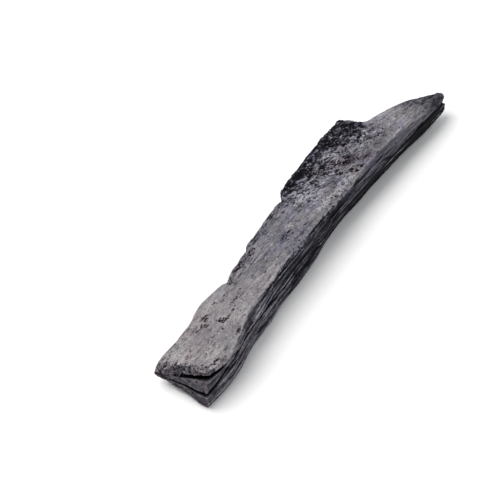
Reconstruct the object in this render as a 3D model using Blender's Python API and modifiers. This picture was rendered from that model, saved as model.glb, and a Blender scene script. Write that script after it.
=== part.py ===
"""A stick of split hardwood charcoal, one solid piece.

The billet is a loft through six rails that run along it: the edges of its split top, its side
and its underside. Grain, knot and bark relief are raised from the loft by formulas, and the
broken near end, its rim and the drying checks are cut from it. Sizes are in millimetres and
are turned into metres where points are made. The stick lies on its underside along X, with its
broken near end at -X and its split top facing +Z. The origin is at the middle of its footprint.
"""

import math
from collections import namedtuple

import bmesh
import bpy
import numpy as np
from mathutils import Vector, noise

MM = 0.001
NODE = "charcoal_stick"

# Driving dimensions, from the near end, with y to the stick's left and z up from the floor
LENGTH = 249.2
TIP_LENGTH = 2.5
NEAR_END = 2.8
NEAR_LEAN = 0.35
NEAR_LEAN_ABOVE = 9.0
NEAR_LEAN_FULL_AT = 12.0
NEAR_SLANT = 0.06
NEAR_HOOK = 0.045
NEAR_HOOK_FROM = 7.0
HEEL_ROUNDING = 0.07
HEEL_ROUNDING_FROM = -11.5
HEEL_ROUNDING_BELOW = 8.0
HEEL_ROUNDING_FADE = 6.0
FLOOR_CUT = 0.35

# The rails, each with only the (x, y, z) points that its shape needs
LEFT_EDGE = [
    (0, 15.2, 9.0),
    (4, 17.1, 10.0),
    (10, 17.4, 11.6),
    (16.5, 16.7, 12.6),
    (21, 16.0, 13.2),
    (27, 16.8, 14.0),
    (33, 17.1, 14.6),
    (38.5, 19.3, 15.0),
    (44, 19.6, 15.0),
    (49, 19.1, 15.1),
    (55, 18.2, 15.5),
    (58.5, 17.8, 15.7),
    (61.5, 15.4, 16.0),
    (66, 16.7, 16.4),
    (70.5, 18.4, 16.8),
    (76, 18.6, 17.2),
    (79, 19.8, 17.4),
    (84, 19.8, 17.6),
    (87, 21.6, 17.8),
    (92, 22.1, 18.0),
    (107, 23.3, 19.0),
    (119.5, 24.3, 19.8),
    (123.4, 23.9, 20.0),
    (125.6, 27.0, 20.0),
    (131, 28.9, 20.3),
    (137, 28.9, 20.6),
    (144, 29.9, 21.0),
    (156, 31.4, 22.0),
    (163, 30.7, 22.5),
    (174, 30.7, 23.3),
    (184, 30.1, 24.0),
    (189.4, 30.0, 24.0),
    (192, 24.0, 23.6),
    (195, 20.2, 23.0),
    (200, 18.3, 21.8),
    (206, 18.2, 20.6),
    (216, 16.6, 19.2),
    (223, 14.6, 18.4),
    (230, 11.9, 17.4),
    (237, 7.7, 16.3),
    (244, 4.5, 15.3),
    (250, 1.0, 14.2),
]
CREST = [
    (0, -11.4, 20.5),
    (8, -12.2, 20.5),
    (16, -13.2, 20.1),
    (22.5, -14.2, 19.6),
    (27, -13.2, 20.8),
    (32, -12.1, 22.3),
    (36, -11.3, 23.3),
    (40, -9.8, 23.8),
    (44, -8.4, 24.0),
    (50, -7.4, 24.0),
    (66, -6.3, 24.0),
    (80, -5.1, 24.5),
    (92, -4.4, 24.5),
    (105, -3.4, 24.0),
    (125, -2.8, 23.0),
    (145, -2.4, 21.5),
    (159, -1.2, 21.5),
    (173, -0.4, 22.0),
    (201, -0.5, 21.0),
    (217, -1.8, 19.0),
    (235, -3.2, 16.0),
    (250, -3.2, 12.8),
]
SHOULDER = [
    (0, -14.4, 9.0),
    (15, -14.8, 11.4),
    (25, -14.4, 14.0),
    (36, -12.8, 15.0),
    (48, -10.9, 15.0),
    (68, -8.5, 11.5),
    (100, -5.8, 9.4),
    (116, -4.4, 10.0),
    (128, -3.8, 13.4),
    (140, -3.8, 15.0),
    (165, -3.9, 15.2),
    (190, -4.2, 15.0),
    (205, -4.6, 14.0),
    (222, -4.8, 12.4),
    (239, -5.2, 10.6),
    (250, -5.6, 9.0),
]
HEEL = [
    (0, -14.6, 0.0),
    (10, -15.2, 0.0),
    (33, -13.2, 0.0),
    (45, -10.9, 0.0),
    (57, -9.4, 0.0),
    (69, -8.4, 0.0),
    (81, -7.5, 0.0),
    (94, -7.0, 0.0),
    (107, -5.3, 0.0),
    (120, -2.9, 0.0),
    (134, -1.5, 0.0),
    (148, -0.4, 0.0),
    (165, -0.2, 0.0),
    (200, -0.8, 0.0),
    (225, -2.4, 1.2),
    (250, -4.4, 4.8),
]
KEEL = [
    (0, 11.5, 4.9),
    (12, 12.6, 3.6),
    (38, 13.2, 0.3),
    (70, 12.0, -0.2),
    (120, 14.0, -0.2),
    (160, 17.0, -0.2),
    (185, 17.0, 0.0),
    (205, 11.0, 0.8),
    (228, 6.0, 2.8),
    (250, 0.6, 6.8),
]
FLANK = [
    (0, 15.0, 6.8),
    (20, 16.8, 7.0),
    (60, 16.8, 8.0),
    (95, 20.6, 9.0),
    (125, 23.0, 9.0),
    (150, 25.6, 10.5),
    (185, 25.6, 12.5),
    (200, 17.0, 10.5),
    (220, 13.4, 9.8),
    (250, 2.4, 10.4),
]
RAILS = (LEFT_EDGE, CREST, SHOULDER, HEEL, KEEL, FLANK)

# How far each corner of the section is rounded, and how each side that follows it bulges.
# Sides run left edge to crest (the split top), crest to shoulder, shoulder to heel (the side
# face), heel to keel (the underside), keel to flank and flank to left edge.
CORNER_ROUNDING = (1.7, 1.3, 2.0, 1.2, 3.0, 3.0)
SIDE_BULGE = (0.7, 0.1, 0.3, 0.0, 0.3, 0.3)
SIDE_STEPS = (14, 4, 6, 7, 2, 2)
CORNER_STEPS = 3
MOST_OF_SIDE_ROUNDED = 0.38
NEAR_TOP_CROWN = 1.8
NEAR_TOP_CROWN_REACH = 34.0

# Spans of the loft as (from, to, spacing of the rings), and the rings that close the far tip
RING_SPANS = (
    (-4.0, 10.0, 2.8),
    (10.0, 31.0, 3.5),
    (31.0, 45.0, 2.8),
    (45.0, 55.0, 3.4),
    (55.0, 72.0, 2.2),
    (72.0, 90.0, 3.0),
    (90.0, 118.0, 4.0),
    (118.0, 132.0, 2.0),
    (132.0, 184.0, 3.25),
    (184.0, 204.0, 2.2),
    (204.0, 240.0, 3.6),
    (240.0, LENGTH - TIP_LENGTH, 1.75),
)
TIP_RINGS = ((0.92, 1.4), (0.70, 2.1), (0.36, 2.4))
TIP_LEAN = 0.28
LOWER_TIP_END = 246.2
LOWER_TIP_TOP = 12.0
LOWER_TIP_LEAN = 0.12
LOWER_TIP_LEAN_BELOW = 8.0

# Relief raised from the loft, and lower where the stick is thin
FULL_RELIEF_GIRTH = 95.0
NORMAL_SMOOTHINGS = 2
GRAIN_LENGTH = 46.0
GRAIN_WIDTH = 5.2
GRAIN_HEIGHT = 0.75
SWELL_SIZE = 24.0
SWELL_HEIGHT = 0.7
SWELL_SEED = 7.3
EDGE_BITE = 0.9
EDGE_BITE_LENGTH = 7.0
EDGE_BITE_SEED = 4.4
UNDERSIDE_CALM = 0.8
KNOT_MIDDLE = (158.0, 19.0)
KNOT_REACH = (38.0, 14.0)
KNOT_LUMP_SIZE = 8.0
KNOT_LUMP_HEIGHT = 1.6
KNOT_LUMP_SEED = (3.1, 1.7, 9.2)
KNOT_LUMP_ON_SIDES = 0.35
KNOT_VALLEY = ((152.0, 21.0), (176.0, 6.0))
KNOT_VALLEY_WIDTH = 5.0
KNOT_VALLEY_DEPTH = 1.5

# Roughness of the broken faces, as (width, height, seed, share) of each layer of noise
END_RAGGEDNESS = 0.6
NEAR_END_ROUGHNESS = ((6.5, 3.6, 5.5, 1.0), (2.9, 2.1, 2.2, 0.6))
LOWER_TIP_ROUGHNESS = ((4.0, 3.0, 1.3, 1.0),)

# The helpers that cut the ends and the underside
END_CUTTER_SIZE = (44.0, 34.0)
END_CUTTER_HEIGHT = 12.0
END_CUTTER_CELL = 1.6
TIP_CUTTER_SIZE = (24.0, 16.0)
TIP_CUTTER_CELLS = (12, 10)
BEFORE_NEAR_END = -12.0
PAST_TIP = 1.1 * LENGTH
FLOOR_CUTTER_DEPTH = 12.0

# Drying checks that open on the side face: (x, height, depth into the wood, width) along each
Check = namedtuple("Check", "name line tilt droop", defaults=(0.0, 0.0))
LONG_CHECK = Check(
    "long_check",
    [
        (-6, 8.6, 27.0, 2.6),
        (3, 8.7, 25.0, 2.4),
        (9, 9.8, 15.0, 2.0),
        (15, 11.4, 10.0, 1.7),
        (25, 14.0, 7.0, 1.4),
        (36, 15.0, 5.5, 1.3),
        (50, 15.0, 4.5, 1.4),
        (68, 11.7, 4.0, 1.5),
        (87, 10.9, 3.2, 1.2),
        (102, 9.5, 2.4, 1.0),
        (118, 8.6, 1.4, 0.6),
    ],
    droop=0.0050,
)
FRONT_GAP = Check(
    "front_gap",
    [
        (-6, 18.0, 21.5, 3.3),
        (4, 18.0, 20.5, 3.2),
        (8, 17.7, 14.0, 2.7),
        (13, 16.7, 9.0, 2.0),
        (18, 16.1, 5.0, 1.3),
        (24, 16.6, 2.2, 0.7),
    ],
    tilt=0.20,
    droop=0.0080,
)
SIDE_CHECKS = (
    Check("upper_check", [(27, 18.0, 2.6, 0.7), (38, 19.2, 3.4, 1.1), (62, 18.6, 1.6, 0.7)]),
    Check("fibre_check", [(34, 21.6, 1.8, 0.7), (46, 21.2, 3.0, 0.9), (58, 20.4, 1.4, 0.6)]),
    Check("crest_check", [(88, 21.4, 1.6, 0.6), (104, 21.6, 3.0, 0.9), (121, 20.6, 1.4, 0.6)]),
    Check("middle_check", [(118, 13.4, 1.4, 0.6), (138, 12.8, 2.4, 0.8), (160, 13.6, 1.4, 0.6)]),
    Check("far_check", [(196, 12.6, 1.4, 0.6), (208, 12.2, 2.6, 0.9), (219, 12.0, 1.4, 0.6)]),
    Check("tip_check", [(229, 11.6, 1.4, 0.6), (241, 11.9, 5.0, 1.4), (254, 12.3, 14.0, 4.8)]),
)
CHECK_OUTSIDE = 4.0
CHECK_TIP_SHARE = 0.3
CHECK_STEPS_IN = 5
CHECK_STEP_ALONG = 5.0

# The top layer is broken back at the near end, along this ragged line of (y, x) in the front
# gap, and the break leans back as it rises
RIM_BREAK = [
    (-30.0, 10.0),
    (-13.6, 8.2),
    (-12.4, 6.6),
    (-11.5, 5.6),
    (-9.7, 4.8),
    (-7.0, 3.9),
    (-2.8, 3.4),
    (0.9, 2.9),
    (3.6, 2.2),
    (6.8, 1.2),
    (8.5, -0.2),
    (14.0, -4.0),
]
RIM_LEAN = 0.5
RIM_RAGGEDNESS = 0.5
RIM_GRAIN = 1.6
RIM_SEED = 8.8
RIM_CUTTER_TOP = 1.5 * CREST[0][2]
RIM_STEPS = (3, 22)

CHARCOAL_COLOUR = (0.105, 0.10, 0.105, 1.0)


def smooth_step(edge, value, width):
    """0 below edge, 1 past edge + width, with a smooth rise between them."""
    t = min(1.0, max(0.0, (value - edge) / width))
    return t * t * (3 - 2 * t)


def curve_through(points):
    """A function of x that runs smoothly through points of (x, value, ...)."""
    data = np.array(points, float)
    xs, values = data[:, 0], data[:, 1:]
    slopes = np.gradient(values, xs, axis=0)

    def at(x):
        x = min(max(x, xs[0]), xs[-1])
        i = min(int(np.searchsorted(xs, x, side="right")) - 1, len(xs) - 2)
        span = xs[i + 1] - xs[i]
        t = (x - xs[i]) / span
        return (
            values[i] * (1 + 2 * t) * (1 - t) ** 2
            + slopes[i] * span * t * (1 - t) ** 2
            + values[i + 1] * t * t * (3 - 2 * t)
            + slopes[i + 1] * span * t * t * (t - 1)
        )

    return at


RAIL_CURVES = [curve_through(rail) for rail in RAILS]


def section(x):
    """The rounded outline of the billet at x, as points of (y, z)."""
    corners = [curve(x) for curve in RAIL_CURVES]
    near = 1 - smooth_step(0, x, NEAR_TOP_CROWN_REACH)
    outline = []
    for i, corner in enumerate(corners):
        before, after = corners[i - 1], corners[(i + 1) % len(corners)]
        back_length = np.linalg.norm(before - corner)
        ahead_length = np.linalg.norm(after - corner)
        back_reach = min(MOST_OF_SIDE_ROUNDED, CORNER_ROUNDING[i] / back_length)
        start = corner + (before - corner) * back_reach
        reach = min(MOST_OF_SIDE_ROUNDED, CORNER_ROUNDING[i] / ahead_length)
        end = corner + (after - corner) * reach
        for t in np.linspace(0, 1, CORNER_STEPS):
            outline.append(start * (1 - t) ** 2 + 2 * corner * t * (1 - t) + end * t * t)
        next_rounding = CORNER_ROUNDING[(i + 1) % len(corners)]
        next_reach = min(MOST_OF_SIDE_ROUNDED, next_rounding / ahead_length)
        stop = after + (corner - after) * next_reach
        along = (after - corner) / ahead_length
        outward = np.array([along[1], -along[0]])
        bulge = SIDE_BULGE[i] + (NEAR_TOP_CROWN * near if i == 0 else 0.0)
        for t in np.linspace(0, 1, SIDE_STEPS[i] + 1)[1:-1]:
            outline.append(end + (stop - end) * t + outward * bulge * 4 * t * (1 - t))
    return np.array(outline)


def knot_share(x, y):
    """1 at the middle of the knot, 0 outside it."""
    away = math.hypot((x - KNOT_MIDDLE[0]) / KNOT_REACH[0], (y - KNOT_MIDDLE[1]) / KNOT_REACH[1])
    return 1 - smooth_step(0.25, away, 0.85)


def valley_share(x, y):
    """1 along the crease that runs from the knot towards the crest, 0 away from it."""
    start, end = (np.array(point) for point in KNOT_VALLEY)
    along = (end - start) / np.linalg.norm(end - start)
    offset = np.array([x, y]) - start
    travel = min(max(float(offset @ along), 0.0), float(np.linalg.norm(end - start)))
    away = float(np.linalg.norm(offset - along * travel))
    return math.exp(-((away / KNOT_VALLEY_WIDTH) ** 2))


def relief(x, y, z, outward):
    """How far the surface is raised at a point, in millimetres. The underside stays nearly flat."""
    grain = noise.noise(Vector((x / GRAIN_LENGTH, y / GRAIN_WIDTH, z / GRAIN_WIDTH)))
    swell = noise.noise(Vector((x / SWELL_SIZE, y / SWELL_SIZE, z / SWELL_SIZE + SWELL_SEED)))
    height = GRAIN_HEIGHT * grain + SWELL_HEIGHT * swell
    upward = max(0.0, outward[1])
    lump = noise.noise(Vector((x, y, z)) / KNOT_LUMP_SIZE + Vector(KNOT_LUMP_SEED))
    facing = KNOT_LUMP_ON_SIDES + (1 - KNOT_LUMP_ON_SIDES) * upward
    height += KNOT_LUMP_HEIGHT * lump * knot_share(x, y) * facing
    height -= KNOT_VALLEY_DEPTH * valley_share(x, y) * upward
    leftward = smooth_step(0.35, outward[0], 0.5)
    bite = noise.noise(Vector((x / EDGE_BITE_LENGTH, EDGE_BITE_SEED, 0.0)))
    height -= EDGE_BITE * leftward * max(0.0, bite)
    underside = smooth_step(0.6, -outward[1], 0.35)
    return height * (1 - UNDERSIDE_CALM * underside)


def ring(x):
    """Points of the loft at x, with relief."""
    outline = section(x)
    after, before = np.roll(outline, -1, axis=0), np.roll(outline, 1, axis=0)
    tangents = after - before
    girth = float(np.linalg.norm(outline - before, axis=1).sum())
    normals = np.stack([tangents[:, 1], -tangents[:, 0]], axis=1)
    for _ in range(NORMAL_SMOOTHINGS):
        normals = normals + np.roll(normals, 1, axis=0) + np.roll(normals, -1, axis=0)
    normals /= np.linalg.norm(normals, axis=1)[:, None]
    points = []
    for (y, z), outward in zip(outline, normals):
        height = relief(x, y, z, outward) * min(1.0, girth / FULL_RELIEF_GIRTH)
        y, z = np.array([y, z]) + outward * height
        points.append((x, y, z))
    return points


def ring_positions():
    """The x of each ring of the loft."""
    positions = [RING_SPANS[0][0]]
    for start, stop, spacing in RING_SPANS:
        count = round((stop - start) / spacing)
        positions.extend(np.linspace(start, stop, count + 1)[1:])
    return positions


def billet():
    """The split billet before any check is cut: a loft between unlike sections."""
    mesh = bmesh.new()
    sections = [ring(x) for x in ring_positions()]
    last = np.array(sections[-1])
    middle = last.mean(axis=0)
    for share, further in TIP_RINGS:
        inner = middle + (last - middle) * share
        sections.append([(x + further + TIP_LEAN * (z - middle[2]), y, z) for x, y, z in inner])
    loft = [[mesh.verts.new(Vector(point) * MM) for point in points] for points in sections]
    for first, second in zip(loft, loft[1:]):
        for i in range(len(first)):
            mesh.faces.new((first[i - 1], first[i], second[i], second[i - 1]))
    for points in (loft[0], loft[-1]):
        mesh.faces.new(points)
    bmesh.ops.recalc_face_normals(mesh, faces=mesh.faces)
    return new_object(NODE, mesh)


def new_object(name, mesh):
    """An object made from a bmesh, which is freed."""
    data = bpy.data.meshes.new(name)
    mesh.to_mesh(data)
    mesh.free()
    return bpy.data.objects.new(name, data)


def side_face(x):
    """y of the side face at x, between its heel and its shoulder."""
    return float(min(RAIL_CURVES[2](x)[0], RAIL_CURVES[3](x)[0]))


def sag(check, inward):
    """How far a check has dropped at a depth below its height at the side face."""
    return check.tilt * max(0.0, inward) + check.droop * max(0.0, inward) ** 2


def check_cutter(check):
    """A thin wedge that opens on the side face: a bent sheet, made as thick as the check is wide."""
    at = curve_through(check.line)
    first, last = check.line[0][0], check.line[-1][0]
    steps = max(4, round((last - first) / CHECK_STEP_ALONG))
    mesh = bmesh.new()
    bmesh.ops.create_grid(mesh, x_segments=steps, y_segments=CHECK_STEPS_IN, size=0.5)
    widest = max(point[3] for point in check.line)
    openings = []
    for vert in mesh.verts:
        along, inward = vert.co.x + 0.5, vert.co.y + 0.5
        x = first + (last - first) * along
        height, depth, width = at(x)
        mouth = side_face(x)
        y = mouth - CHECK_OUTSIDE + (depth + CHECK_OUTSIDE) * inward
        sunk = sag(check, y - mouth)
        taper = 1 - (1 - CHECK_TIP_SHARE) * inward**1.5
        openings.append(width * taper / widest)
        vert.co = Vector((x, y, height - sunk)) * MM
    cutter = new_object(check.name + "_cutter", mesh)
    group = cutter.vertex_groups.new(name="opening")
    for index, opening in enumerate(openings):
        group.add([index], opening, "REPLACE")
    wall = cutter.modifiers.new("width", "SOLIDIFY")
    wall.thickness = widest * MM
    wall.offset = 0.0
    wall.vertex_group = group.name
    return cutter


def rim_cutter():
    """Everything above the front gap and in front of the ragged line where the top layer broke."""
    line = curve_through(RIM_BREAK)
    gap = curve_through(FRONT_GAP.line)
    first, last = RIM_BREAK[0][0], RIM_BREAK[-1][0]
    mesh = bmesh.new()
    bmesh.ops.create_grid(mesh, x_segments=RIM_STEPS[0], y_segments=RIM_STEPS[1], size=0.5)
    for vert in mesh.verts:
        y = first + (last - first) * (vert.co.y + 0.5)
        ragged = RIM_RAGGEDNESS * noise.noise(Vector((y / RIM_GRAIN, RIM_SEED, 0.0)))
        back = float(line(y)[0]) + ragged
        x = BEFORE_NEAR_END + (back - BEFORE_NEAR_END) * (vert.co.x + 0.5)
        height = gap(back)[0] - sag(FRONT_GAP, y - side_face(back))
        vert.co = Vector((x, y, height)) * MM
    lifted = bmesh.ops.extrude_face_region(mesh, geom=list(mesh.faces))["geom"]
    top = RIM_CUTTER_TOP * MM
    for vert in (item for item in lifted if isinstance(item, bmesh.types.BMVert)):
        vert.co.x += RIM_LEAN * (top - vert.co.z)
        vert.co.z = top
    bmesh.ops.recalc_face_normals(mesh, faces=mesh.faces)
    return new_object("rim_cutter", mesh)


def roughness(y, z, layers):
    """How far a broken face stands proud at a point of it, as a share of its raggedness."""
    return sum(
        share * noise.noise(Vector((y / width, z / height, seed)))
        for width, height, seed, share in layers
    )


def near_end_cutter():
    """Everything in front of the ragged face that the near end is broken to."""
    mesh = bmesh.new()
    across, high = END_CUTTER_SIZE
    steps = [round(size / END_CUTTER_CELL) for size in END_CUTTER_SIZE]
    bmesh.ops.create_grid(mesh, x_segments=steps[0], y_segments=steps[1], size=0.5)
    for vert in mesh.verts:
        y, z = vert.co.x * across, vert.co.y * high + END_CUTTER_HEIGHT
        rough = END_RAGGEDNESS * roughness(y, z, NEAR_END_ROUGHNESS)
        x = NEAR_END + rough - NEAR_HOOK * max(0.0, y - NEAR_HOOK_FROM) ** 2
        x += NEAR_SLANT * min(0.0, y)
        rightward = min(1.0, max(0.0, -y / NEAR_LEAN_FULL_AT))
        x += NEAR_LEAN * max(0.0, z - NEAR_LEAN_ABOVE) * rightward
        low = min(1.0, max(0.0, (HEEL_ROUNDING_BELOW - z) / HEEL_ROUNDING_FADE))
        x += HEEL_ROUNDING * low * max(0.0, HEEL_ROUNDING_FROM - y) ** 2
        vert.co = Vector((x, y, z)) * MM
    pulled = bmesh.ops.extrude_face_region(mesh, geom=list(mesh.faces))["geom"]
    for vert in (item for item in pulled if isinstance(item, bmesh.types.BMVert)):
        vert.co.x = BEFORE_NEAR_END * MM
    bmesh.ops.recalc_face_normals(mesh, faces=mesh.faces)
    return new_object("near_end_cutter", mesh)


def tip_cutter():
    """The end of the layer under the tip's check, which broke off shorter than the one above."""
    mesh = bmesh.new()
    across, high = TIP_CUTTER_SIZE
    steps = TIP_CUTTER_CELLS
    bmesh.ops.create_grid(mesh, x_segments=steps[0], y_segments=steps[1], size=0.5)
    for vert in mesh.verts:
        y, z = vert.co.x * across, (vert.co.y - 0.5) * high + LOWER_TIP_TOP
        rough = END_RAGGEDNESS * roughness(y, z, LOWER_TIP_ROUGHNESS)
        x = LOWER_TIP_END + rough - LOWER_TIP_LEAN * (LOWER_TIP_LEAN_BELOW - z)
        vert.co = Vector((x, y, z)) * MM
    pulled = bmesh.ops.extrude_face_region(mesh, geom=list(mesh.faces))["geom"]
    for vert in (item for item in pulled if isinstance(item, bmesh.types.BMVert)):
        vert.co.x = PAST_TIP * MM
    bmesh.ops.recalc_face_normals(mesh, faces=mesh.faces)
    return new_object("tip_cutter", mesh)


def floor_cutter():
    """A slab whose top levels the underside, so that the stick rests on a flat spot."""
    mesh = bmesh.new()
    bmesh.ops.create_cube(mesh, size=1.0)
    size = Vector((2 * LENGTH, 2 * LENGTH, FLOOR_CUTTER_DEPTH))
    bmesh.ops.scale(mesh, vec=size * MM, verts=mesh.verts)
    middle = Vector((LENGTH / 2, 0.0, FLOOR_CUT - FLOOR_CUTTER_DEPTH / 2)) * MM
    bmesh.ops.translate(mesh, vec=middle, verts=mesh.verts)
    return new_object("floor_cutter", mesh)


def charcoal_material():
    material = bpy.data.materials.new("charcoal")
    material.use_nodes = True
    shader = material.node_tree.nodes["Principled BSDF"]
    shader.inputs["Base Color"].default_value = CHARCOAL_COLOUR
    shader.inputs["Roughness"].default_value = 0.85
    shader.inputs["Metallic"].default_value = 0.0
    return material


def cut(target, cutter):
    """Cuts cutter from target, and leaves it in the file as a helper that isn't rendered."""
    cutter.hide_render = True
    cutter.display_type = "WIRE"
    boolean = target.modifiers.new(cutter.name, "BOOLEAN")
    boolean.operation = "DIFFERENCE"
    boolean.solver = "EXACT"
    boolean.object = cutter


def centre_on_origin(stick, frame):
    """Moves the whole model so that the origin is at the middle of the stick's footprint."""
    bpy.context.view_layer.update()
    evaluated = stick.evaluated_get(bpy.context.evaluated_depsgraph_get())
    corners = np.array([evaluated.matrix_world @ Vector(corner) for corner in evaluated.bound_box])
    low, high = corners.min(axis=0), corners.max(axis=0)
    frame.location = (-(low[0] + high[0]) / 2, -(low[1] + high[1]) / 2, -low[2])
    bpy.context.view_layer.update()


def main():
    for obj in list(bpy.data.objects):
        bpy.data.objects.remove(obj)
    model = bpy.data.collections.new(NODE)
    helpers = bpy.data.collections.new("cutters")
    bpy.context.scene.collection.children.link(model)
    bpy.context.scene.collection.children.link(helpers)

    frame = bpy.data.objects.new("stick_frame", None)
    model.objects.link(frame)
    stick = billet()
    stick.data.materials.append(charcoal_material())
    stick.parent = frame
    model.objects.link(stick)

    checks = (LONG_CHECK, FRONT_GAP, *SIDE_CHECKS)
    cutters = [floor_cutter(), near_end_cutter(), rim_cutter(), tip_cutter()]
    cutters += map(check_cutter, checks)
    for cutter in cutters:
        cutter.parent = frame
        helpers.objects.link(cutter)
        cut(stick, cutter)
    centre_on_origin(stick, frame)


main()
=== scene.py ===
"""Finishes a packed stick of split hardwood charcoal: its charred, ashy skin, the crumbs and
lifted fibres on it, and a plain stage. Laid out as an add-on and run as a script.

Sizes in the settings are metres. The formulas for the skin work in millimetres, in the frame of
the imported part: X along the stick from its broken end, Y to its flared left side, Z up.
"""

import math
from collections import namedtuple
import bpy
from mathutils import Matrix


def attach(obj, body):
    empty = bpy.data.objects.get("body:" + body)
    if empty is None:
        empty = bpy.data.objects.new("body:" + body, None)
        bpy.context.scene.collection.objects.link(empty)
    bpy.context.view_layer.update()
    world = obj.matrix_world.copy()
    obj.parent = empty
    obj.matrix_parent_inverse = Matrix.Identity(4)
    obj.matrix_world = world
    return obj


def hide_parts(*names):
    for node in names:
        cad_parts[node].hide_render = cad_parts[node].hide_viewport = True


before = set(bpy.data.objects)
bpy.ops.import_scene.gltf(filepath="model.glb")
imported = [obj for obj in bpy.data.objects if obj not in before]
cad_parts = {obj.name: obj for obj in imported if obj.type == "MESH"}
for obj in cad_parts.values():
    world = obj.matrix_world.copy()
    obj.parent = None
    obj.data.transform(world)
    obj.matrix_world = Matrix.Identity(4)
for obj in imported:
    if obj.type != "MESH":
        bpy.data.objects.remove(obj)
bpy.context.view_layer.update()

from types import SimpleNamespace

import bmesh
import bpy
from mathutils import Matrix, Vector

bl_info = {
    "name": "Charcoal Stick",
    "version": (1, 0, 0),
    "blender": (4, 5, 0),
    "location": "3D View > Sidebar > Charcoal",
    "description": "Finishes a packed stick of hardwood charcoal and sets a plain stage round it",
    "category": "Object",
}

NODE = "charcoal_stick"
SKIN = "charcoal_stick_skin"
BODY = "root"
PER_METRE = 1000.0
MERGE_DISTANCE = 1e-6


class Field:
    """One output in a node tree. Arithmetic on it adds Math nodes to the tree."""

    def __init__(self, formula, socket):
        self.formula = formula
        self.socket = socket

    def __add__(self, other):
        return self.formula.math("ADD", self, other)

    def __radd__(self, other):
        return self.formula.math("ADD", other, self)

    def __sub__(self, other):
        return self.formula.math("SUBTRACT", self, other)

    def __rsub__(self, other):
        return self.formula.math("SUBTRACT", other, self)

    def __mul__(self, other):
        return self.formula.math("MULTIPLY", self, other)

    def __truediv__(self, other):
        return self.formula.math("DIVIDE", self, other)

    def __pow__(self, other):
        return self.formula.math("POWER", self, other)

    def __abs__(self):
        return self.formula.math("ABSOLUTE", self)


class Formula:
    """Writes formulas as nodes in one tree, in Geometry Nodes and in materials alike."""

    def __init__(self, tree):
        self.tree = tree

    def feed(self, socket, value):
        if isinstance(value, Field):
            value = value.socket
        if isinstance(value, bpy.types.NodeSocket):
            self.tree.links.new(value, socket)
        else:
            socket.default_value = value

    def node(self, kind, inputs=None, **settings):
        made = self.tree.nodes.new(kind)
        for name, value in settings.items():
            setattr(made, name, value)
        for key, value in (inputs or {}).items():
            self.feed(made.inputs[key], value)
        return made

    def field(self, kind, output=0, inputs=None, **settings):
        return Field(self, self.node(kind, inputs, **settings).outputs[output])

    def math(self, operation, *values, clamp=False):
        made = self.node("ShaderNodeMath", operation=operation, use_clamp=clamp)
        for socket, value in zip(made.inputs, values):
            self.feed(socket, value)
        return Field(self, made.outputs[0])

    def vector(self, operation, *values, output=0):
        made = self.node("ShaderNodeVectorMath", operation=operation)
        for socket, value in zip(made.inputs, values):
            self.feed(socket, value)
        return Field(self, made.outputs[output])

    def scale(self, vector, factor):
        made = self.node("ShaderNodeVectorMath", {"Scale": factor}, operation="SCALE")
        self.feed(made.inputs[0], vector)
        return Field(self, made.outputs[0])

    def parts(self, vector):
        made = self.node("ShaderNodeSeparateXYZ", {0: vector})
        return [Field(self, socket) for socket in made.outputs]

    def join(self, x, y, z):
        return self.field("ShaderNodeCombineXYZ", 0, {0: x, 1: y, 2: z})

    def rise(self, value, low, high):
        """0 at low, 1 at high, with a smooth rise or fall between them."""
        inputs = {"Value": value, "From Min": low, "From Max": high}
        return self.field("ShaderNodeMapRange", "Result", inputs, interpolation_type="SMOOTHSTEP")

    def mix(self, share, low, high):
        return low + share * (high - low)

    def clamp(self, value):
        return self.math("ADD", value, 0.0, clamp=True)

    def stretched(self, point, pattern):
        inverse = tuple(1.0 / length for length in pattern.size)
        away = tuple(pattern.shift * share for share in SHIFT_SHARES)
        return self.vector("MULTIPLY_ADD", point, inverse, away)

    def noise(self, point, pattern):
        """Noise from about -1 to 1, in one of the patterns."""
        inputs = {
            "Vector": self.stretched(point, pattern),
            "Scale": 1.0,
            "Detail": pattern.detail,
            "Roughness": pattern.roughness,
        }
        return (self.field("ShaderNodeTexNoise", "Fac", inputs) - 0.5) * 2.0

    def cells(self, point, pattern):
        """Distance from the middle of the nearest random cell, and a random value per cell."""
        inputs = {"Vector": self.stretched(point, pattern), "Scale": 1.0}
        made = self.node("ShaderNodeTexVoronoi", inputs)
        value = self.parts(made.outputs["Color"])[0]
        return Field(self, made.outputs["Distance"]), value

    def line(self, point, pattern, width):
        """1 along thin wandering lines, which are the level curves of stretched noise."""
        return self.rise(abs(self.noise(point, pattern)), width, 0.0)

    def course(self, value, points):
        """The height at value of a line through points of (value, height)."""
        made = self.node("ShaderNodeFloatCurve")
        first, last = points[0][0], points[-1][0]
        low = min(height for place, height in points)
        high = max(height for place, height in points)
        line = made.mapping.curves[0]
        while len(line.points) < len(points):
            line.points.new(0.5, 0.5)
        for mark, (place, height) in zip(line.points, points):
            mark.location = ((place - first) / (last - first), (height - low) / (high - low))
            mark.handle_type = "VECTOR"
        made.mapping.update()
        self.feed(made.inputs["Value"], (value - first) / (last - first))
        return Field(self, made.outputs[0]) * (high - low) + low

    def tint(self, colour, share, by):
        """A colour multiplied by another, as far as share says."""
        made = self.node(
            "ShaderNodeMix", {0: share, 6: colour, 7: by}, data_type="RGBA", blend_type="MULTIPLY"
        )
        return made.outputs[2]

    def attribute(self, name):
        """Reads a stored attribute, in a material."""
        return self.field("ShaderNodeAttribute", "Fac", attribute_name=name)


def input_named(tree, name, default, distance=False):
    socket = tree.interface.new_socket(name=name, in_out="INPUT", socket_type="NodeSocketFloat")
    socket.default_value = default
    if distance:
        socket.subtype = "DISTANCE"
    return socket


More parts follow.
